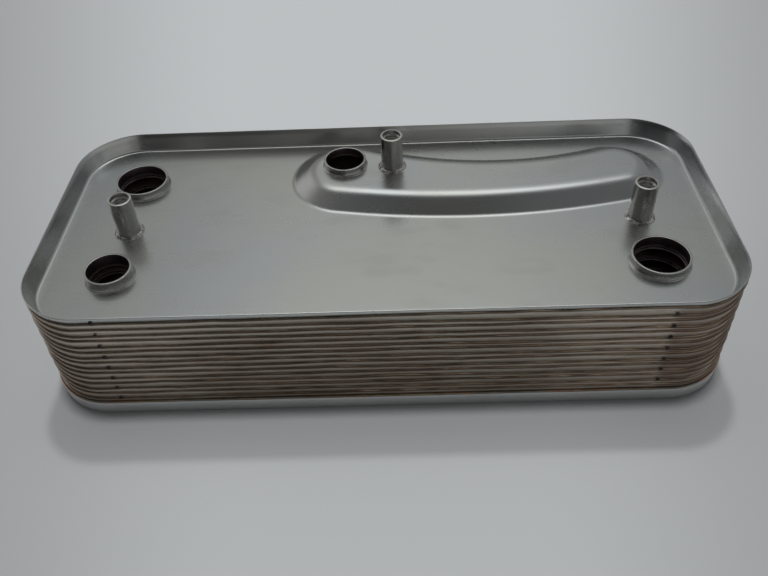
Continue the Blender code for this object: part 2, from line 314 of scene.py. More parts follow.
# %% Duct outline
DUCT_HEIGHT = 4.2 * MM
DUCT_SLOPE = math.radians(35.0)
DUCT_TOP_FILLET = 6.5 * MM
DUCT_FOOT_FILLET = 3.0 * MM
DUCT_START = TRANSFER[0] + Vector((0.8, -1.7)) * MM
DUCT_END = PORTS["back_right"][0] + Vector((-3.4, -1.0)) * MM
DUCT_SAG = 5.95
DUCT_BOW = Vector((0.0, -4 * DUCT_SAG)) * MM
DUCT_HALF_WIDTHS = (10.9 * MM, 7.8 * MM, 7.65 * MM)
DUCT_SIDE_STEPS = 44
DUCT_END_STEPS = 18
FILLET_STEPS = 8


def duct_section(share):
    """Centre, direction and the roof's half width at this share of the duct's length."""
    rest = 1 - share
    centre = DUCT_START.lerp(DUCT_END, share) + DUCT_BOW * share * rest
    direction = (DUCT_END - DUCT_START + DUCT_BOW * (1 - 2 * share)).normalized()
    start, waist, end = DUCT_HALF_WIDTHS
    half_width = start * rest * (1 - 2 * share) + waist * 4 * share * rest + end * share * (2 * share - 1)
    return centre, direction, half_width


def duct_outline(offset):
    """Points round the duct, this far outside the edge of its roof."""
    front, back = [], []
    for step in range(DUCT_SIDE_STEPS + 1):
        centre, direction, half_width = duct_section(step / DUCT_SIDE_STEPS)
        across = Vector((-direction.y, direction.x)) * (half_width + offset)
        front.append(centre - across)
        back.append(centre + across)

    def round_end(share, first_turn):
        centre, direction, half_width = duct_section(share)
        heading = math.atan2(direction.y, direction.x) + first_turn
        turns = [heading + math.pi * step / DUCT_END_STEPS for step in range(1, DUCT_END_STEPS)]
        return [centre + Vector((math.cos(turn), math.sin(turn))) * (half_width + offset) for turn in turns]

    return front + round_end(1.0, -math.pi / 2) + back[::-1] + round_end(0.0, math.pi / 2)


print("points round the duct:", len(duct_outline(0.0)))

# %% Duct wall
def duct_wall():
    """List (offset outside the roof's edge, height) up the wall: a tight bend at its foot, a soft one on top."""
    half_turn = math.tan(DUCT_SLOPE / 2)
    run = DUCT_HEIGHT / math.tan(DUCT_SLOPE) + DUCT_FOOT_FILLET * half_turn
    start = -DUCT_TOP_FILLET * half_turn
    turns = [DUCT_SLOPE * step / FILLET_STEPS for step in range(FILLET_STEPS + 1)]
    foot = [(run - DUCT_FOOT_FILLET * math.sin(turn), DUCT_FOOT_FILLET * (1 - math.cos(turn))) for turn in turns]
    top = [
        (start + DUCT_TOP_FILLET * math.sin(turn), DUCT_HEIGHT - DUCT_TOP_FILLET * (1 - math.cos(turn)))
        for turn in reversed(turns)
    ]
    return [(run + SUPPORT, 0.0)] + foot + top + [(start - SUPPORT, DUCT_HEIGHT)]


def lay_ring(piece, old, new, height):
    """Move the selected ring from one outline to the next, point by point."""
    places = {(round(point.x, 7), round(point.y, 7)): index for index, point in enumerate(old)}
    for vertex in each_vertex(piece):
        if vertex.select:
            index = places[(round(vertex.co.x, 7), round(vertex.co.y, 7))]
            vertex.co = (new[index].x, new[index].y, height)


def press_duct(piece, floor):
    """Add the duct's wall and roof to the cover being edited."""
    outlines = [(duct_outline(offset), height) for offset, height in duct_wall()]
    first = outlines[0][0]
    bpy.ops.mesh.select_mode(type="VERT")
    bpy.ops.mesh.primitive_circle_add(vertices=len(first), radius=10 * MM, location=(0, 0, floor))
    mesh = bmesh.from_edit_mesh(piece.data)
    for vertex, point in zip([vertex for vertex in mesh.verts if vertex.select], first):
        vertex.co = (point.x, point.y, floor)
    bmesh.update_edit_mesh(piece.data)
    for (old, _), (new, height) in zip(outlines, outlines[1:]):
        bpy.ops.mesh.extrude_edges_move(TRANSFORM_OT_translate={"value": (0, 0, 0)})
        lay_ring(piece, old, new, floor + height)


print("rings up the duct's wall:", len(duct_wall()))

# %% [markdown]
# ## Hand-pressed unevenness
# Real rims are never quite straight. Noise pushes each rim in or out and up or down by a few tenths
# of a millimetre. A seed makes every tray differ, the same way each run.

# %% Unevenness helpers
NOISE_CELLS = 70
SEED_STEP = 7.3
LIFT_CELLS = 1.6
LIFT_SHIFT = Vector((40, 0, 0))
LIFT_MIDDLE = 0.4


def clamp(value, low, high):
    return max(low, min(high, value))


def level_noise(place, cells, layer):
    """Smooth noise over a level plane, with this many cells in a metre. Each layer is different."""
    return noise.noise(Vector((place.x * cells, place.y * cells, layer)))


def lean_of_wall(place):
    """The level direction in which a tray's wall leans outwards at this place."""
    across = clamp(place.x, -CORNER_X, CORNER_X)
    along = clamp(place.y, -CORNER_Y, CORNER_Y)
    return Vector((place.x - across, place.y - along, 0.0)).normalized()


def unsettle_rim(piece, top, depth, outward, upward, seed):
    """Bend a tray's rim with smooth noise that dies away down the wall.

    The uneven height follows the lean of the wall, so a rim never bends into the next tray.
    """
    for vertex in each_vertex(piece):
        share = 1 - (top - vertex.co.z) / depth
        if share <= 0:
            continue
        away = lean_of_wall(vertex.co)
        place = Vector((vertex.co.x * NOISE_CELLS, vertex.co.y * NOISE_CELLS, seed * SEED_STEP))
        lift = (noise.noise(place * LIFT_CELLS + LIFT_SHIFT) - LIFT_MIDDLE) * upward * share
        vertex.co += away * (noise.noise(place) * outward * share + lift * math.tan(FLARE))
        vertex.co.z += lift


def thicken_tray(piece, sheet, edge):
    """Give the skin its sheet thickness below the upper face, and dull its cut edges."""
    apply_modifier(piece, "SOLIDIFY", thickness=sheet, offset=-1.0, use_even_offset=True)
    dull_edges(piece, edge)
    smooth(piece)


print("rim noise at the first corner:", round(level_noise(Vector((CORNER_X, CORNER_Y)), NOISE_CELLS, SEED_STEP), 3))

# %% [markdown]
# ## The cover plate
# The cover is the tray that everyone sees: a high bright rim, a flat satin floor, the duct and three open ports.
# The floor is filled flat between the fold, the ports and the duct's foot, and the duct's roof round its port.

# %% Cover plate
COVER_ROOF = COVER_FLOOR + DUCT_HEIGHT
cover = press_tray("cover_tray", "cover_plate", SHEET, 1.0 * MM, 7, long_cuts=40, short_cuts=12)
cover_ports = [(*PORTS[corner], COVER_FLOOR) for corner in ("back_left", "front_left", "front_right")]
cover_ports.append((*TRANSFER, COVER_ROOF))
press_duct(cover, COVER_FLOOR)
for centre, radius, level in cover_ports:
    add_port(centre, radius + SUPPORT, level, sides=COVER_PORT_SIDES)
fill_flat(cover, COVER_FLOOR)
fill_flat(cover, COVER_ROOF)
for port in cover_ports:
    ring_port(cover, *port)
face_up(cover)
unsettle_rim(cover, COVER_RIM_TOP, depth=4.0 * MM, outward=0.10 * MM, upward=0.04 * MM, seed=3)
stop_editing()
thicken_tray(cover, SHEET, 0.06 * MM)
print("cover:", len(cover.data.polygons), "faces, size", size_of(cover))

# %% [markdown]
# ## Herringbone waves
# Inside, V-shaped waves are pressed into every channel plate and the base plate. They mix the water and carry
# the plate above. A grid is the natural start, because each wave is the same smooth curve: every vertex is
# slid along its V and lifted by a cosine.

# %% Herringbone patch
WAVE_SPACING = 12.0 * MM
WAVE_SLANT = math.tan(math.radians(30))
WAVE_START = -73.7 * MM
WAVE_FINISH = 49.6 * MM
WAVE_HALF_WIDTH = 35.8 * MM
WAVE_RUN_OUT = 2.2 * MM
WAVE_COUNT = int((WAVE_FINISH - WAVE_START) / WAVE_SPACING)
STEPS_PER_WAVE = 8
WAVE_ROWS = 28


def press_waves(piece, floor, direction):
    """Add the herringbone to the tray being edited, pointing along -X or +X."""
    first = (WAVE_START + WAVE_FINISH - WAVE_COUNT * WAVE_SPACING) / 2
    length = WAVE_COUNT * WAVE_SPACING
    bpy.ops.mesh.select_mode(type="VERT")
    bpy.ops.mesh.primitive_grid_add(
        x_subdivisions=WAVE_COUNT * STEPS_PER_WAVE, y_subdivisions=WAVE_ROWS, size=1, location=(0, 0, floor)
    )
    for vertex in each_vertex(piece):
        if not vertex.select:
            continue
        along = vertex.co.x + 0.5
        reach = vertex.co.y * 2 * WAVE_HALF_WIDTH
        run_out = min(1.0, (WAVE_HALF_WIDTH - abs(reach)) / WAVE_RUN_OUT)
        lift = (1 - math.cos(2 * math.pi * along * WAVE_COUNT)) / 2
        vertex.co.x = direction * (first + along * length + WAVE_SLANT * abs(reach))
        vertex.co.y = reach
        vertex.co.z = floor + WAVE_HEIGHT * lift * run_out


print("waves:", WAVE_COUNT, "each", STEPS_PER_WAVE, "steps long")

# %% [markdown]
# ## Rims of the stack
# The rims step down a little round all four corners, and further towards two opposite ones, which change
# from plate to plate. The end plate is number 0 of the stack, and the channel plates follow it downwards.

# %% Rim helpers
CHANNEL_PLATES = 14
FOLD_INSIDE = 0.45 * MM
RIM_EDGE = 0.07 * MM
RIM_DEPTH = 1.6 * MM
RIM_UNEVENNESS = 0.52 * MM
CORNER_STEP = 0.14 * MM
CORNER_RUN = 2.0 * MM
END_STEP = 0.58 * MM
END_RUN_X = 60 * MM
END_RUN_Y = 20 * MM


def stack_node(number):
    return f"channel_plate_{number:02d}" if number else "end_plate"


def step_rim(piece, top, number):
    """Lower the rim round every corner, and further towards two opposite ones that alternate with the number."""
    turned = 1 if number % 2 else -1
    for vertex in each_vertex(piece):
        if vertex.co.z < top - RIM_DEPTH:
            continue
        corner = clamp((abs(vertex.co.x) - CORNER_X) / CORNER_RUN, 0.0, 1.0)
        end = clamp(vertex.co.x / END_RUN_X, -1.0, 1.0) * clamp(-vertex.co.y / END_RUN_Y, -1.0, 1.0) * turned
        drop = CORNER_STEP * corner + END_STEP * max(0.0, end)
        vertex.co -= lean_of_wall(vertex.co) * drop * math.tan(FLARE)
        vertex.co.z -= drop


def shape_rim(piece, number):
    """Give a plate of the stack its own uneven rim. The braze inside it is bent the same way."""
    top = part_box(stack_node(number))[1].z
    unsettle_rim(piece, top, depth=2.4 * MM, outward=0.09 * MM, upward=RIM_UNEVENNESS, seed=number)
    step_rim(piece, top, number)


print("a rim drops by up to", round((CORNER_STEP + END_STEP) / MM, 2), "mm")

# %% [markdown]
# ## The stack
# Two patterns of channel plate alternate, turned end for end, so that crests cross and two fluids keep apart.
# One skin of each pattern is modelled and copied, and each copy is bent a little before it gets its thickness.

# %% Channel plates
def channel_skin(name, number, direction, sealed):
    """The skin of one pattern: its dished seats, its open ports and its waves."""
    floor = floor_level(stack_node(number))
    piece = press_tray(name, stack_node(number), SHEET, FOLD_INSIDE, 3)
    for corner, (centre, radius) in PORTS.items():
        add_port(centre, radius, floor, WAVE_HEIGHT if corner in sealed else 0.0)
    press_waves(piece, floor, direction)
    fill_flat(piece, floor)
    face_up(piece)
    stop_editing()
    return piece


patterns = {
    1: channel_skin("channel_pattern_left", 1, 1.0, ("back_left", "front_right")),
    2: channel_skin("channel_pattern_right", 2, -1.0, ("front_left", "back_right")),
}
channels = []
for number in range(1, CHANNEL_PLATES + 1):
    model = 2 - number % 2
    plate = patterns[model].copy()
    plate.data = patterns[model].data.copy()
    plate.name = plate.data.name = f"channel_tray_{number:02d}"
    bpy.context.collection.objects.link(plate)
    plate.location.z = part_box(stack_node(number))[0].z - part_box(stack_node(model))[0].z
    select_only(plate)
    bpy.ops.object.transform_apply(location=True, rotation=False, scale=False)
    start_editing(plate)
    shape_rim(plate, number)
    stop_editing()
    thicken_tray(plate, SHEET, RIM_EDGE)
    channels.append(plate)
for pattern in patterns.values():
    bpy.data.objects.remove(pattern, do_unlink=True)
print("channel plates:", len(channels), "faces in each:", len(channels[0].data.polygons))

# %% [markdown]
# ## End plate and base plate
# The end plate is flat and closes the duct from below. The base plate has no ports, a thicker sheet and a nearly
# upright wall, and it is the bright band that the whole stack stands on.

# %% End plate
end_floor = floor_level("end_plate")
end_plate = press_tray("end_tray", "end_plate", SHEET, FOLD_INSIDE, 3)
for centre, radius in PORTS.values():
    add_port(centre, radius, end_floor)
fill_flat(end_plate, end_floor)
face_up(end_plate)
shape_rim(end_plate, 0)
stop_editing()
thicken_tray(end_plate, SHEET, RIM_EDGE)
print("end plate:", len(end_plate.data.polygons), "faces")

# %% Base plate
BASE_FLARE = math.radians(4)
base_floor = floor_level("base_plate", BASE_SHEET)
base_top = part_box("base_plate")[1].z
base_plate = press_tray("base_tray", "base_plate", BASE_SHEET, 0.35 * MM, 6, flare=BASE_FLARE)
press_waves(base_plate, base_floor, 1.0)
fill_flat(base_plate, base_floor)
face_up(base_plate)
unsettle_rim(base_plate, base_top, depth=2.2 * MM, outward=0.05 * MM, upward=0.08 * MM, seed=47)
stop_editing()
thicken_tray(base_plate, BASE_SHEET, 0.08 * MM)
print("base plate:", len(base_plate.data.polygons), "faces")

# %% [markdown]
# ## Braze
# Copper has run out along the base plate's rim and set as a thin, uneven thread with drips.
# A flat ring is extruded into a band, its thickness is made to vary, and small drops are joined to it.
# The furnace also draws copper into the narrow gap between two rims. Left empty, the gaps would look like
# black slots, so a thin ring sloped like a fillet of solder fills each. Where the press tool's corner begins,
# a pinch in the rims lies in shade, and a squashed, almost black drop in the gap there is painted shade.

# %% Bands and drops
def raise_band(name, half_length, half_width, height, cuts, width, slope, rise):
    """A ring with round corners, this wide and sloping up inwards, extruded into a band. It stays in edit mode."""
    piece = add_rounded_plane(name, half_length, half_width, height, *cuts)
    bpy.ops.mesh.inset(thickness=width, depth=slope)
    bpy.ops.mesh.delete(type="FACE")
    bpy.ops.mesh.select_all(action="SELECT")
    bpy.ops.mesh.extrude_region_move(TRANSFORM_OT_translate={"value": (0, 0, rise)})
    bpy.ops.mesh.select_all(action="SELECT")
    bpy.ops.mesh.normals_make_consistent(inside=False)
    return piece


def add_drop(place, radius, squash):
    """A small set drop of metal: a squashed ball."""
    bpy.ops.object.select_all(action="DESELECT")
    bpy.ops.mesh.primitive_uv_sphere_add(segments=14, ring_count=9, radius=radius, location=place)
    bpy.context.object.scale = squash
    return new_piece("drop")


print("trays so far:", len(channels) + 3)

# %% Braze bead
BEAD_WIDTH = 0.40 * MM
BEAD_INSET = 0.03 * MM
BEAD_CELLS = 260
THINNEST = 0.25
DRIP_DEPTH = 0.26 * MM
bead_low, bead_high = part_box("braze_bead")
bead_middle = (bead_low.z + bead_high.z) / 2
bead = raise_band(
    "braze_thread", bead_high.x - BEAD_INSET, bead_high.y - BEAD_INSET, bead_low.z, (120, 44),
    width=BEAD_WIDTH, slope=0.0, rise=bead_high.z - bead_low.z,
)
for vertex in each_vertex(bead):
    place = Vector((vertex.co.x * BEAD_CELLS, vertex.co.y * BEAD_CELLS, 0.0))
    slow = noise.noise(place * 0.22 + Vector((9, 0, 0)))
    thickness = clamp(0.62 + 0.30 * noise.noise(place) + 0.25 * slow, THINNEST, 1.0)
    vertex.co.z = bead_middle + (vertex.co.z - bead_middle) * thickness + 0.05 * MM * slow
stop_editing()
dull_edges(bead, 0.10 * MM)

chance = random.Random(11)
drops = []
for along in (-66, -61, -35, -22, -14, 9, 16, 31, 47, 58, 63, 71):
    radius = chance.uniform(0.16, 0.30) * MM
    x = along * MM + chance.uniform(-1, 1) * MM
    squash = (chance.uniform(1.0, 2.2), 0.8, 0.72)
    drops.append(add_drop((x, -(bead_high.y - DRIP_DEPTH), bead_middle), radius, squash))
join_pieces(bead, drops)
smooth(bead, 60)
print("bead size", size_of(bead))

# %% Braze in the gaps
GAP_DEPTH = 0.16 * MM
FILLET_WIDTH = 0.20 * MM
FILLET_RISE = 0.22 * MM
FILLET_DROP = -0.6 * MM
PINCH_X = 73.0 * MM


def braze_gap(number, finish):
    """A thin sloped ring of braze inside a rim of the stack, with an uneven height."""
    node = stack_node(number)
    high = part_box(node)[1]
    inner = [side - SHEET * math.cos(FLARE) - GAP_DEPTH * math.tan(FLARE) for side in (high.x, high.y)]
    ring = raise_band(
        f"braze_{node}", *inner, high.z - GAP_DEPTH, (70, 24),
        width=FILLET_WIDTH, slope=FILLET_RISE, rise=FILLET_DROP,
    )
    for vertex in each_vertex(ring):
        coarse = level_noise(vertex.co, 130, number * 3.1)
        fine = level_noise(vertex.co, 700, number * 5.7)
        vertex.co.z += (0.20 * coarse + 0.10 * fine) * MM
    shape_rim(ring, number)
    stop_editing()
    smooth(ring, 50)
    ring.data.materials.append(finish)
    return ring


def pinch_mark(number, finish):
    """Painted shade of a pinch at the start of a front corner: an almost black squashed drop in the gap over the rim.
    """
    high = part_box(stack_node(number))[1]
    side = 1 if number % 2 else -1
    place = (side * PINCH_X, -(high.y - 0.26 * MM), high.z - 0.10 * MM)
    mark = add_drop(place, 0.48 * MM, (1.3, 0.55, 0.75))
    smooth(mark, 60)
    mark.data.materials.append(finish)
    return mark


print("braze fillet:", round(FILLET_WIDTH / MM, 2), "mm wide")

# %% [markdown]
# ## Turned pieces
# Collars and bosses are turned on a lathe, so each is drawn as one: a circle is extruded and resized step by step
# along its profile. The centre of each resize is given, because a script has no cursor to aim with.
# Profiles are drawn in millimetres, and their feet sink a little into the face they stand on.

# %% Lathe helpers
SINK = 0.04
TURNED_SIDES = 64


def profile_steps(radius, level, steps):
    """Place a profile that is drawn as (out, up) steps in millimetres from a radius and a level."""
    return [(radius + out * MM, level + up * MM) for out, up in steps]


def turn_piece(name, centre, profile, closed=True):
    """Turn (radius, height) steps round a vertical axis. A closed profile ends where it began."""
    (first_radius, first_height), *_ = profile
    bpy.ops.object.select_all(action="DESELECT")
    bpy.ops.mesh.primitive_circle_add(
        vertices=TURNED_SIDES, radius=first_radius, location=(centre.x, centre.y, first_height)
    )
    piece = new_piece(name)
    start_editing(piece)
    bpy.ops.mesh.select_mode(type="VERT")
    bpy.ops.mesh.select_all(action="SELECT")
    for (radius, height), (next_radius, next_height) in zip(profile, profile[1:]):
        extrude_ring(centre, next_radius / radius, next_height, next_height - height)
    if not closed:
        pick_edges(piece, lambda edge: len(edge.link_faces) < 2)
        bpy.ops.mesh.edge_face_add()
    bpy.ops.mesh.select_all(action="SELECT")
    bpy.ops.mesh.remove_doubles(threshold=SAME_PLACE)
    bpy.ops.mesh.select_all(action="SELECT")
    bpy.ops.mesh.normals_make_consistent(inside=False)
    stop_editing()
    return piece


print("a turned piece has", TURNED_SIDES, "sides")

# %% [markdown]
# ## Port collars
# Each collar is a short tube with a thin rounded lip and a low ring of braze round its foot.

# %% Port collars
COLLAR_WALL = 0.65 * MM
COLLAR_FOOT = ((0.46, -SINK), (0.38, 0.12), (0.20, 0.24), (0.07, 0.34), (-0.02, 0.52))
COLLAR_LIP = ((-0.02, -0.55), (0.0, -0.35), (0.0, -0.16), (-0.048, -0.048), (-0.16, 0.0))
COLLAR_MOUTH = ((0.16, 0.0), (0.048, -0.048), (0.0, -0.16))


def add_collar(node, centre, bore, seat):
    """A collar from the face it stands on up to its node's top."""
    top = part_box(node)[1].z
    wall = bore + COLLAR_WALL
    inside = profile_steps(bore, seat, ((0.0, -SINK),))
    profile = inside + profile_steps(wall, seat, COLLAR_FOOT) + profile_steps(wall, top, COLLAR_LIP)
    profile += profile_steps(bore, top, COLLAR_MOUTH) + inside
    piece = turn_piece(node.replace("port_collar", "collar"), centre, profile)
    smooth(piece, 50)
    return piece


collars = {}
for corner in ("back_left", "front_left", "front_right"):
    node = f"port_collar_{corner}"
    collars[node] = add_collar(node, *PORTS[corner], COVER_FLOOR)
collars["port_collar_transfer"] = add_collar("port_collar_transfer", *TRANSFER, COVER_ROOF)
for node, piece in collars.items():
    print(node, size_of(piece))

# %% [markdown]
# ## Threaded bosses
# A boss is a blind tube with an M5 thread below a shallow wide mouth. A rough ring of weld holds it to the cover.
# The thread could be a texture, but the camera looks into the mouth. So the bore is cut into many rings,
# and each vertex moves in or out with its angle and height: that makes a true helix.

# %% Threaded bosses
BOSS_RADIUS = 3.3 * MM
BOSS_MOUTH = 2.62 * MM
BOSS_BORE = 2.1 * MM
BOSS_TIP = 0.4 * MM
BOSS_WALL = ((0.0, -SINK), (0.0, 0.6), (0.0, 6.0))
BOSS_LIP = ((0.0, -0.34), (0.0, -0.14), (-0.042, -0.042), (-0.14, 0.0))
MOUTH_WALL = ((0.10, 0.0), (0.02, -0.08), (0.0, -1.05), (-0.08, -1.14))
MOUTH_LEDGE = ((0.10, -1.30),)
THREAD_START = 1.45 * MM
THREAD_FINISH = 8.9 * MM
THREAD_PITCH = 0.8 * MM
THREAD_DEPTH = 0.36 * MM
THREAD_ROWS = 90
THREAD_CREST = 1.25


def cut_thread(piece, centre, top, bottom):
    """Move the bore's vertices in and out to a helix that fades at both ends."""
    for vertex in piece.data.vertices:
        place = vertex.co.xy - centre
        if abs(place.length - BOSS_BORE) > SAME_PLACE or vertex.co.z > top + SAME_PLACE:
            continue
        turns = (top - vertex.co.z) / THREAD_PITCH + math.atan2(place.y, place.x) / (2 * math.pi)
        ridge = min(1.0, abs(2 * (turns % 1.0) - 1) * THREAD_CREST)
        ends = min(1.0, (top - vertex.co.z) / (0.2 * MM), (vertex.co.z - bottom) / (0.4 * MM))
        vertex.co.xy = centre + place * (1 + THREAD_DEPTH * ridge * ends / BOSS_BORE)


def add_boss(node, centre, seat):
    """A boss from the face it stands on up to its node's top, threaded nearly to the bottom of its bore.

    Its mouth is a shallow wide bore with a ledge at the bottom, where the thread begins.
    """
    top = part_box(node)[1].z
    thread_top = top - THREAD_START
    thread_bottom = top - THREAD_FINISH
    drop = thread_bottom - thread_top
    profile = profile_steps(BOSS_RADIUS, seat, BOSS_WALL) + profile_steps(BOSS_RADIUS, top, BOSS_LIP)
    profile += profile_steps(BOSS_MOUTH, top, MOUTH_WALL) + profile_steps(BOSS_BORE, top, MOUTH_LEDGE)
    profile += [(BOSS_BORE, thread_top + drop * row / THREAD_ROWS) for row in range(THREAD_ROWS + 1)]
    profile += [(BOSS_TIP, thread_bottom - 0.5 * MM)]
    piece = turn_piece(node.replace("threaded_boss", "boss"), centre, profile, closed=False)
    cut_thread(piece, centre, thread_top, thread_bottom)
    for face in piece.data.polygons:
        if face.center.z < top - 0.1 * MM and (face.center.xy - centre).length < BOSS_MOUTH + 0.05 * MM:
            face.material_index = 1
    smooth(piece, 40)
    return piece


print("turns of thread:", round((THREAD_FINISH - THREAD_START) / THREAD_PITCH, 1))

# %% Welds
WELD_RING = ((1.00, -SINK), (0.92, 0.16), (0.66, 0.20), (0.56, 0.46), (0.34, 0.62), (0.10, 0.58))
WELD_INSIDE = ((-0.15, 0.50), (-0.15, -SINK))
RIPPLE = 0.16 * MM
SPATTER_DROPS = 7


def add_weld(name, centre, seat, seed):
    """The rough ring of weld round a boss, with a few drops of spatter."""
    profile = profile_steps(BOSS_RADIUS, seat, WELD_INSIDE[1:] + WELD_RING + WELD_INSIDE)
    weld = turn_piece(name, centre, profile)
    for vertex in weld.data.vertices:
        place = vertex.co.xy - centre
        if place.length < BOSS_RADIUS or vertex.co.z < seat:
            continue
        way = place.normalized()
        ripple = (level_noise(way, 3.2, seed) + 0.5 * level_noise(way, 9, seed)) * RIPPLE
        vertex.co.xy += way * ripple
        vertex.co.z += ripple
    chance = random.Random(seed)
    drops = []
    for _ in range(SPATTER_DROPS):
        turn = chance.uniform(0, 2 * math.pi)
        reach = BOSS_RADIUS + chance.uniform(0.5, 0.85) * MM
        radius = chance.uniform(0.10, 0.24) * MM
        place = (centre.x + reach * math.cos(turn), centre.y + reach * math.sin(turn), seat + radius * 0.9)
        drops.append(add_drop(place, radius, (1.0, 1.0, chance.uniform(0.7, 1.2))))
    join_pieces(weld, drops)
    smooth(weld, 70)
    return weld


BOSSES = {
    "threaded_boss_left": (Vector((-73.4, -1.5)) * MM, COVER_FLOOR),
    "threaded_boss_right": (Vector((73.4, -1.5)) * MM, COVER_FLOOR),
    "threaded_boss_centre": (Vector((3.1, 21.4)) * MM, COVER_ROOF),
}
bosses, welds = {}, {}
for index, (node, (centre, seat)) in enumerate(BOSSES.items()):
    bosses[node] = add_boss(node, centre, seat)
    welds[node] = add_weld(node.replace("threaded_boss", "weld"), centre, seat, seed=5 + index)
    print(node, "faces", len(bosses[node].data.polygons), "weld faces", len(welds[node].data.polygons))

# %% [markdown]
# ## Finishes
# Each finish is a node tree on Object coordinates, turned into millimetres once so that sizes read like a drawing.
# Effects that several finishes share are node groups, which put out masks and heights only.
# The Principled shader itself always stays in the material.

# %% Node helpers
def connect(value, socket):
    """Plug a socket into an input, or set the input to a number, a colour or a vector."""
    if isinstance(value, bpy.types.NodeSocket):
        socket.id_data.links.new(value, socket)
    else:
        socket.default_value = (*value, 1.0) if socket.type == "RGBA" else value


def add_node(tree, kind, inputs=None, **settings):
    """Add a node, change its settings, then connect its inputs by name or number. Return its outputs."""
    node = tree.nodes.new(kind)
    for key, value in settings.items():
        setattr(node, key, value)
    for key, value in (inputs or {}).items():
        connect(value, node.inputs[key])
    return node.outputs


def do_math(tree, operation, *values, clamped=False):
    return add_node(tree, "ShaderNodeMath", dict(enumerate(values)), operation=operation, use_clamp=clamped)[0]


def mix_colours(tree, factor, first, second):
    return add_node(tree, "ShaderNodeMix", {0: factor, 6: first, 7: second}, data_type="RGBA")[2]


def tint(tree, colour, mask, share, stain):
    """Mix a stain's colour in where the mask is, up to this share."""
    return mix_colours(tree, do_math(tree, "MULTIPLY", mask, share), colour, stain)


def add_up(tree, total, *parts, clamped=False):
    """A number plus each mask times its amount, kept between 0 and 1 at every step if clamped."""
    for mask, amount in parts:
        total = do_math(tree, "ADD", do_math(tree, "MULTIPLY", mask, amount), total, clamped=clamped)
    return total


def fade(tree, value, start, finish):
    """0 at start, 1 at finish, and smooth between them, whichever of the two is higher."""
    ends = {"Value": value, "From Min": start, "From Max": finish}
    return add_node(tree, "ShaderNodeMapRange", ends, interpolation_type="SMOOTHSTEP")["Result"]


def lay_pattern(tree, vector, scale, turn=0.0):
    """Coordinates scaled along each axis, and turned about Z."""
    way = {"Vector": vector, "Scale": scale, "Rotation": (0.0, 0.0, turn)}
    return add_node(tree, "ShaderNodeMapping", way)["Vector"]


def add_noise(tree, vector, scale, detail=2.0, roughness=0.5):
    look = {"Vector": vector, "Scale": scale, "Detail": detail, "Roughness": roughness}
    return add_node(tree, "ShaderNodeTexNoise", look)["Fac"]


def new_group(name, inputs, output):
    """A group with a vector input, float inputs given as name: default, and one float output."""
    group = bpy.data.node_groups.new(name, "ShaderNodeTree")
    group.interface.new_socket(name="Vector", in_out="INPUT", socket_type="NodeSocketVector")
    for key, default in inputs.items():
        group.interface.new_socket(name=key, in_out="INPUT", socket_type="NodeSocketFloat").default_value = default
    group.interface.new_socket(name=output, in_out="OUTPUT", socket_type="NodeSocketFloat")
    return group, add_node(group, "NodeGroupInput"), group.nodes.new("NodeGroupOutput").inputs[output]


def use_group(tree, group, output, **inputs):
    return add_node(tree, "ShaderNodeGroup", inputs, node_tree=group)[output]


print("node groups so far:", len(bpy.data.node_groups))

# %% [markdown]
# ### Shared effects
# Cloudy patches are broad stains. Scratches are noise stretched along the rolling direction.
# Pits are small and dark, from the distance to scattered points.

# %% Shared effect groups
SCRATCH_LAYS = (((0.03, 1.0, 1.0), 0.0), ((0.05, 1.0, 1.0), 0.9))
CROSSING_LEVEL = 0.66
PIT_RARITY = 3.0
PIT_EDGE = 12.0


def make_patches_group():
    """Broad stains: 0 outside, 1 inside, with soft edges."""
    sizes = {"Size": 20.0, "Low": 0.4, "High": 0.6, "Shift": 0.0}
    group, given, mask = new_group("cloudy_patches", sizes, "Mask")
    scale = do_math(group, "DIVIDE", 1.0, given["Size"])
    look = {"Vector": given["Vector"], "W": given["Shift"], "Scale": scale, "Detail": 4.0, "Roughness": 0.55}
    cloud = add_node(group, "ShaderNodeTexNoise", look, noise_dimensions="4D")["Fac"]
    connect(fade(group, cloud, given["Low"], given["High"]), mask)
    return group


def make_scratches_group():
    """Fine lines along X, and a few that wander across them."""
    group, given, height = new_group("fine_scratches", {"Finest": 0.12, "Wander": 0.3}, "Height")
    scale = do_math(group, "DIVIDE", 1.0, given["Finest"])
    lines, wanderers = (
        add_noise(group, lay_pattern(group, given["Vector"], stretch, turn), scale, 3.0, 0.6)
        for stretch, turn in SCRATCH_LAYS
    )
    crossing = do_math(group, "GREATER_THAN", wanderers, CROSSING_LEVEL)
    connect(do_math(group, "ADD", lines, do_math(group, "MULTIPLY", crossing, given["Wander"])), height)
    return group


def make_pits_group():
    """Small round pits at scattered places, of different sizes."""
    group, given, mask = new_group("small_pits", {"Spacing": 6.0, "Radius": 0.2}, "Mask")
    scale = do_math(group, "DIVIDE", 1.0, given["Spacing"])
    look = {"Vector": given["Vector"], "Scale": scale, "Randomness": 1.0}
    cells = add_node(group, "ShaderNodeTexVoronoi", look)
    distance = do_math(group, "MULTIPLY", cells["Distance"], given["Spacing"])
    chance = add_node(group, "ShaderNodeSeparateColor", {"Color": cells["Color"]})["Red"]
    radius = do_math(group, "MULTIPLY", do_math(group, "POWER", chance, PIT_RARITY), given["Radius"])
    inside = do_math(group, "SUBTRACT", radius, distance)
    connect(do_math(group, "MULTIPLY", inside, PIT_EDGE, clamped=True), mask)
    return group


PATCHES = make_patches_group()
SCRATCHES = make_scratches_group()
PITS = make_pits_group()
print("groups:", [group.name for group in (PATCHES, SCRATCHES, PITS)])

# %% [markdown]
# ### Starting a metal
# Every metal here starts the same way: coordinates in millimetres and a Principled shader that is fully metallic.

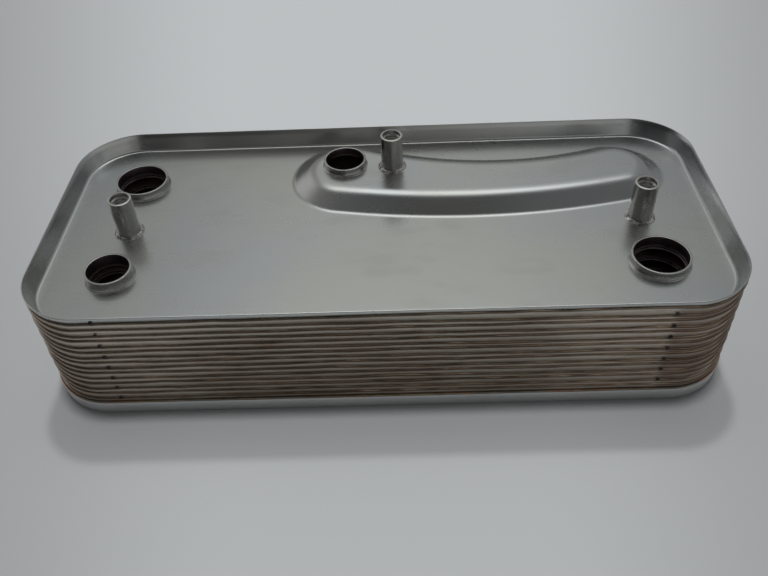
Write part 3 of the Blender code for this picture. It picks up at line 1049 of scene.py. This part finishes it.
# %% Metal helpers
def start_metal(name):
    """Return a new material, its tree and its coordinates in millimetres."""
    material = bpy.data.materials.new(name)
    material.use_nodes = True
    tree = material.node_tree
    return material, tree, lay_pattern(tree, add_node(tree, "ShaderNodeTexCoord")["Object"], (1000.0, 1000.0, 1000.0))


def finish_metal(material, colour, roughness, height, strength, depth):
    """Plug in a colour, a roughness and a height, of which 1 stands for this depth in millimetres."""
    tree = material.node_tree
    relief = {"Strength": strength, "Distance": depth * MM, "Height": height}
    normal = add_node(tree, "ShaderNodeBump", relief)["Normal"]
    look = {"Metallic": 1.0, "Base Color": colour, "Roughness": roughness, "Normal": normal}
    for key, value in look.items():
        connect(value, tree.nodes["Principled BSDF"].inputs[key])
    return material


def stains(tree, place, size, low, high, shift=0.0):
    """Cloudy patches about this many millimetres across. Shift picks other ones of the same kind."""
    return use_group(tree, PATCHES, "Mask", Vector=place, Size=size, Low=low, High=high, Shift=shift)


print("materials so far:", len(bpy.data.materials))

# %% [markdown]
# ### Satin steel
# The cover is cold-rolled stainless steel that has been through a brazing furnace: satin, slightly cloudy,
# with a faint olive cast in some places and a cooler one in others, faint streaks, fine scratches and a few pits.

# %% Satin steel
def make_satin_steel():
    material, tree, place = start_metal("satin_steel")
    broad = stains(tree, place, 46.0, 0.40, 0.62)
    streaks = stains(tree, lay_pattern(tree, place, (0.4, 1.0, 1.0)), 7.0, 0.50, 0.72, 4.0)
    scratches = use_group(tree, SCRATCHES, "Height", Vector=place, Finest=0.60, Wander=0.0)
    pits = use_group(tree, PITS, "Mask", Vector=place, Spacing=11.0, Radius=0.75)
    waves = add_noise(tree, place, 0.045)
    colour = mix_colours(tree, broad, (0.535, 0.555, 0.560), (0.560, 0.565, 0.535))
    colour = tint(tree, colour, streaks, 0.6, (0.49, 0.495, 0.48))
    colour = tint(tree, colour, pits, 0.7, (0.16, 0.14, 0.12))
    roughness = add_up(tree, 0.26, (streaks, 0.04), (broad, 0.02))
    height = add_up(tree, 0.0, (waves, 0.06), (scratches, 0.0030), (pits, -0.03))
    return finish_metal(material, colour, roughness, height, 1.0, 1.0)


satin_steel = make_satin_steel()
print("made", satin_steel.name)

# %% [markdown]
# ### Heat-tinted steel
# The plate edges went brown in the furnace. The tint lies in streaks along each edge. It is heavier at the right
# end and, less so, at the left. Towards the bottom of the stack it is painted heavier too, which is painted shade.
# Just before both ends the metal is paler than in the middle.

# %% Heat-tinted steel
def make_tinted_steel():
    material, tree, place = start_metal("tinted_steel")
    along = lay_pattern(tree, place, (1.0, 1.0, 5.0))
    brown = stains(tree, along, 26.0, 0.36, 0.62)
    rust = stains(tree, along, 9.0, 0.58, 0.74, 7.0)
    soot = stains(tree, along, 5.0, 0.55, 0.75, 2.0)
    pale = stains(tree, along, 14.0, 0.56, 0.70, 12.0)
    spread = add_node(tree, "ShaderNodeSeparateXYZ", {"Vector": place})
    # Painted shade: darker and browner towards the bottom of the stack.
    low_down = fade(tree, spread["Z"], 33.0, 12.0)
    right = fade(tree, spread["X"], 71.5, 74.5)
    left = fade(tree, spread["X"], -72.0, -88.0)
    clean = fade(tree, do_math(tree, "ABSOLUTE", spread["X"]), 34.0, 62.0)
    heating_and_shade = (brown, 0.45), (low_down, 0.35), (clean, -0.30), (right, 0.75), (left, 0.45)
    heat_tint_and_shade = add_up(tree, 0.0, *heating_and_shade, clamped=True)
    colour = mix_colours(tree, clean, (0.50, 0.455, 0.395), (0.63, 0.565, 0.49))
    colour = mix_colours(tree, heat_tint_and_shade, colour, (0.33, 0.262, 0.215))
    colour = tint(tree, colour, rust, 0.55, (0.38, 0.23, 0.14))
    colour = tint(tree, colour, soot, 0.5, (0.15, 0.12, 0.10))
    colour = tint(tree, colour, pale, 0.5, (0.58, 0.555, 0.515))
    grain = add_noise(tree, place, 1.6, 4.0)
    return finish_metal(material, colour, add_up(tree, 0.43, (soot, 0.10)), grain, 0.5, 0.03)


tinted_steel = make_tinted_steel()
print("made", tinted_steel.name)

# %% [markdown]
# ### Base steel and copper
# The base plate stayed cleaner than the stack. The copper is dull brown, with golden and red patches.

# %% Plain steel
def make_plain_steel():
    material, tree, place = start_metal("plain_steel")
    broad = stains(tree, place, 30.0, 0.38, 0.64, 3.0)
    smudge = stains(tree, place, 6.0, 0.52, 0.74, 9.0)
    scratches = use_group(tree, SCRATCHES, "Height", Vector=place, Finest=0.20, Wander=0.15)
    colour = mix_colours(tree, broad, (0.62, 0.635, 0.625), (0.64, 0.62, 0.63))
    colour = tint(tree, colour, smudge, 0.5, (0.52, 0.49, 0.46))
    return finish_metal(material, colour, add_up(tree, 0.50, (smudge, 0.06)), scratches, 0.6, 0.008)


plain_steel = make_plain_steel()
print("made", plain_steel.name)

# %% Braze copper
def make_braze_copper():
    material, tree, place = start_metal("braze_copper")
    red = stains(tree, place, 14.0, 0.52, 0.62, 1.0)
    gold = stains(tree, place, 18.0, 0.50, 0.60, 6.0)
    dull = stains(tree, place, 3.0, 0.45, 0.65, 5.0)
    colour = mix_colours(tree, gold, (0.36, 0.32, 0.27), (0.47, 0.36, 0.21))
    colour = mix_colours(tree, red, colour, (0.50, 0.30, 0.19))
    colour = tint(tree, colour, dull, 0.6, (0.26, 0.21, 0.16))
    return finish_metal(material, colour, add_up(tree, 0.28, (dull, 0.2)), dull, 0.4, 0.03)


braze_copper = make_braze_copper()
print("made", braze_copper.name)

# %% [markdown]
# ### Stained metals
# The deep places and the small pieces share one recipe: two colours, mixed by a stain that is also rougher.
# The turned pieces keep fine tool marks round them: noise stretched so far across that only its change
# with height is left. The weld is bright where it set clean and sooty in patches.

# %% Stained metals
DEEP = {"edges": (0.42, 0.62, 8.0), "rougher": 0.15, "relief": (0.3, 0.02)}
TURNED = {"edges": (0.46, 0.70, 6.0), "rougher": 0.08, "relief": (0.5, 0.012), "marked": True}
MOLTEN = {"edges": (0.45, 0.65), "rougher": 0.2, "relief": (0.4, 0.05)}


def make_stained(name, light, dark, size, smoothest, edges, rougher, relief, marked=False):
    """A metal whose relief is its stain, or tool marks along Z where it is marked."""
    material, tree, place = start_metal(name)
    stain = stains(tree, place, size, *edges)
    height = add_noise(tree, lay_pattern(tree, place, (0.05, 0.05, 1.0)), 6.0) if marked else stain
    colour = mix_colours(tree, stain, light, dark)
    return finish_metal(material, colour, add_up(tree, smoothest, (stain, rougher)), height, *relief)


gap_braze = make_stained("gap_braze", (0.50, 0.38, 0.27), (0.34, 0.24, 0.17), 5.0, 0.38, **DEEP)
# Painted shade: darker colours for the faces round the bores, deep in the stack and inside the collars.
bore_painted_shade = make_stained("bore_painted_shade", (0.38, 0.32, 0.35), (0.27, 0.22, 0.24), 3.0, 0.70, **DEEP)
collar_soot = make_stained("collar_soot", (0.30, 0.24, 0.27), (0.17, 0.135, 0.15), 3.0, 0.32, **DEEP)
# Painted shade: the pinch in the gaps is coloured almost black.
pinch_painted_shade = make_stained("pinch_painted_shade", (0.09, 0.08, 0.08), (0.05, 0.045, 0.045), 1.0, 0.50, **DEEP)
boss_bore = make_stained("boss_bore", (0.62, 0.61, 0.57), (0.42, 0.41, 0.38), 2.0, 0.32, **DEEP)
collar_steel = make_stained("collar_steel", (0.50, 0.50, 0.485), (0.36, 0.35, 0.33), 3.5, 0.24, **TURNED)
boss_steel = make_stained("boss_steel", (0.60, 0.595, 0.56), (0.46, 0.45, 0.42), 3.5, 0.24, **TURNED)
weld_metal = make_stained("weld_metal", (0.62, 0.61, 0.58), (0.20, 0.19, 0.18), 1.2, 0.18, **MOLTEN)
print("materials now:", [material.name for material in bpy.data.materials])

# %% [markdown]
# ## Dress the frame
# Every piece rides on the one body and stands for its node, which is hidden, and takes the finishes it is given.
# A weld belongs to its boss, and the braze and the pinch mark in a gap belong to the plate whose rim they
# lie in, so they are joined to it.

# %% Dress the frame
# How far from a bore's edge the painted shade reaches.
COLLAR_SHADE_REACH = 0.02 * MM
PLATE_SHADE_REACH = 2.0 * MM


def paint_bore_shade(piece, reach):
    """Give the faces round each bore the second material, a darker colour that is painted shade, out to this far from
    its edge.
    """
    for face in piece.data.polygons:
        for centre, radius in (*PORTS.values(), TRANSFER):
            if (face.center.xy - centre).length < radius + reach:
                face.material_index = 1


def dress(piece, node, slot, *materials):
    for material in materials:
        piece.data.materials.append(material)
    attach(piece, "root")
    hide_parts(node)


dress(cover, "cover_plate", "satin_steel", satin_steel)
dress(end_plate, "end_plate", "tinted_steel", tinted_steel, bore_painted_shade)
dress(base_plate, "base_plate", "plain_steel", plain_steel)
dress(bead, "braze_bead", "braze_copper", braze_copper)
for number, plate in enumerate(channels, start=1):
    dress(plate, stack_node(number), "tinted_steel", tinted_steel, bore_painted_shade)
for node, piece in collars.items():
    dress(piece, node, "collar_steel", collar_steel, collar_soot)
    paint_bore_shade(piece, COLLAR_SHADE_REACH)
for number, piece in enumerate([end_plate, *channels]):
    paint_bore_shade(piece, PLATE_SHADE_REACH)
    join_pieces(piece, [braze_gap(number, gap_braze), pinch_mark(number, pinch_painted_shade)])
for node, piece in bosses.items():
    for material in (boss_steel, boss_bore):
        piece.data.materials.append(material)
    welds[node].data.materials.append(weld_metal)
    join_pieces(piece, [welds[node]])
    dress(piece, node, "boss_steel")
print("dressed", 4 + len(channels) + len(collars) + len(bosses), "pieces")

# %% [markdown]
# ## The floor
# The object stands on a pale, matt board. Its colour carries painted light: a painted pool of light that is
# brighter behind the object, and a painted falloff to the front and the corners. So the light on the object can stay
# plain.

# %% Floor
# The painted falloff to the sides spreads wider away from the viewer, from a point this far in front.
VIEWER_Y = 0.353
NEAREST = 0.15


def make_board():
    material = bpy.data.materials.new("pale_board")
    material.use_nodes = True
    tree = material.node_tree
    shader = tree.nodes["Principled BSDF"]
    spread = add_node(tree, "ShaderNodeSeparateXYZ", {"Vector": add_node(tree, "ShaderNodeTexCoord")["Object"]})
    reach = do_math(tree, "MAXIMUM", do_math(tree, "ADD", spread["Y"], VIEWER_Y), NEAREST)
    aside = do_math(tree, "DIVIDE", do_math(tree, "ABSOLUTE", spread["X"]), reach)
    # Painted falloff: darker towards the sides and the front.
    edge = do_math(tree, "MAXIMUM", fade(tree, aside, 0.12, 0.43), fade(tree, spread["Y"], -0.11, -0.30))
    # Painted pool of light: brighter towards the back.
    colour = mix_colours(tree, fade(tree, spread["Y"], -0.10, 0.12), (0.465, 0.482, 0.49), (0.54, 0.56, 0.57))
    colour = mix_colours(tree, edge, colour, (0.345, 0.355, 0.36))
    for key, value in {"Base Color": colour, "Roughness": 0.7, "Specular IOR Level": 0.2}.items():
        connect(value, shader.inputs[key])
    return material


bpy.ops.object.select_all(action="DESELECT")
bpy.ops.mesh.primitive_plane_add(size=6.0, location=(0, 0, 0))
board = new_piece("board")
board.data.materials.append(make_board())
board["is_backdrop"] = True
print("board", [round(side, 2) for side in board.dimensions], "m")

# %% [markdown]
# ## Light
# Polished and satin metal shows its surroundings, so the room matters more than the lamps.
# This one is bright overhead and softer behind the object. It is dark above the camera, and its horizon in
# front is dark on the left and pale on the right, which the inner faces of the walls show.
# Two small lamps draw the shadows: one high and behind, the other almost straight above, which gives
# the narrow dark line at the foot. Neither is mirrored in the metal.

# %% World
DARK_LEFT = (0.012, 0.012, 0.012)
PALE_RIGHT = (0.41, 0.41, 0.405)
CEILING = (0.13, 0.13, 0.131)
BEHIND = (0.26, 0.265, 0.265)
ROOM_PATCHES = (
    ((-0.80, 0.50, 0.33), (8, 30), 1.0, (0.56, 0.56, 0.57)),
    ((0.0, -0.25, 0.968), (8, 24), 1.6, (0.045, 0.045, 0.046)),
    ((0.0, 0.60, 0.80), (4, 34), 1.35, (0.58, 0.59, 0.58)),
    ((0.0, 0.34, 0.94), (3, 17), 0.5, (1.5, 1.51, 1.5)),
)


def room_patch(tree, way, direction, angles, narrow):
    """1 towards a direction, fading to 0 between two angles from it. Below 1, narrow stretches it along X."""
    inner, outer = (math.cos(math.radians(angle)) for angle in angles)
    x, y, z = direction
    lay = lay_pattern(tree, way, (narrow, 1.0, 1.0))
    even = add_node(tree, "ShaderNodeVectorMath", {0: lay}, operation="NORMALIZE")["Vector"]
    aim = Vector((x * narrow, y, z)).normalized()
    dot = add_node(tree, "ShaderNodeVectorMath", {0: even, 1: aim}, operation="DOT_PRODUCT")["Value"]
    return fade(tree, dot, outer, inner)


def make_room():
    world = bpy.data.worlds.new("room")
    bpy.context.scene.world = world
    world.use_nodes = True
    tree = world.node_tree
    way = add_node(tree, "ShaderNodeTexCoord")["Generated"]
    spread = add_node(tree, "ShaderNodeSeparateXYZ", {"Vector": way})
    level = mix_colours(tree, fade(tree, spread["X"], -0.03, 0.03), DARK_LEFT, PALE_RIGHT)
    level = mix_colours(tree, fade(tree, spread["Z"], 0.30, 0.65), level, CEILING)
    level = mix_colours(tree, fade(tree, spread["Y"], -0.2, 0.4), level, BEHIND)
    for direction, angles, narrow, colour in ROOM_PATCHES:
        level = mix_colours(tree, room_patch(tree, way, direction, angles, narrow), level, colour)
    connect(level, tree.nodes["Background"].inputs["Color"])
    return world


print("made", make_room().name, "with", len(ROOM_PATCHES), "patches")

# %% Lamps
LAMPS = {"key_lamp": (66.0, 0.84, 4.5), "fill_lamp": (86.5, 1.20, 6.5)}

for name, (elevation, energy, spread) in LAMPS.items():
    lamp = bpy.data.lights.new(name, "SUN")
    lamp.energy = energy
    lamp.angle = math.radians(spread)
    item = bpy.data.objects.new(name, lamp)
    item.rotation_euler = (-math.radians(90 - elevation), 0.0, 0.0)
    item.visible_glossy = False
    bpy.context.collection.objects.link(item)
print("lamps:", list(LAMPS))

# %% [markdown]
# ## Camera
# The photo's perspective gives the camera: how far it stands, how steeply it looks down and how much it is tilted.
# A turn about Z, then X, then Z again builds that pose more readably than one set of Euler angles.

# %% Camera
HEADING = math.radians(1.814)
TILT = math.radians(46.757)
ROLL = math.radians(-2.865)
lens = bpy.data.cameras.new("camera")
lens.sensor_width = 36.0
lens.lens = 36.99
lens.clip_start = 0.01
camera = bpy.data.objects.new("camera", lens)
bpy.context.collection.objects.link(camera)
camera.location = (0.00505, -0.17949, 0.17424)
pose = Matrix.Rotation(HEADING, 3, "Z") @ Matrix.Rotation(TILT, 3, "X") @ Matrix.Rotation(ROLL, 3, "Z")
camera.rotation_euler = pose.to_euler()
bpy.context.scene.camera = camera
bpy.context.scene.view_settings.view_transform = "Standard"
print("camera looks down", round(90 - math.degrees(TILT), 1), "degrees")

# %% [markdown]
# ## Hand over
# The last cell prints the two boxes that show whether the dressed model kept its size.

# %% Hand over
final_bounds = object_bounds()
[[list(corner) for corner in box] for box in (cad_bounds, final_bounds)]
print("frame box (mm):", [[round(value / MM, 2) for value in corner] for corner in cad_bounds])
print("dressed box (mm):", [[round(value / MM, 2) for value in corner] for corner in final_bounds])
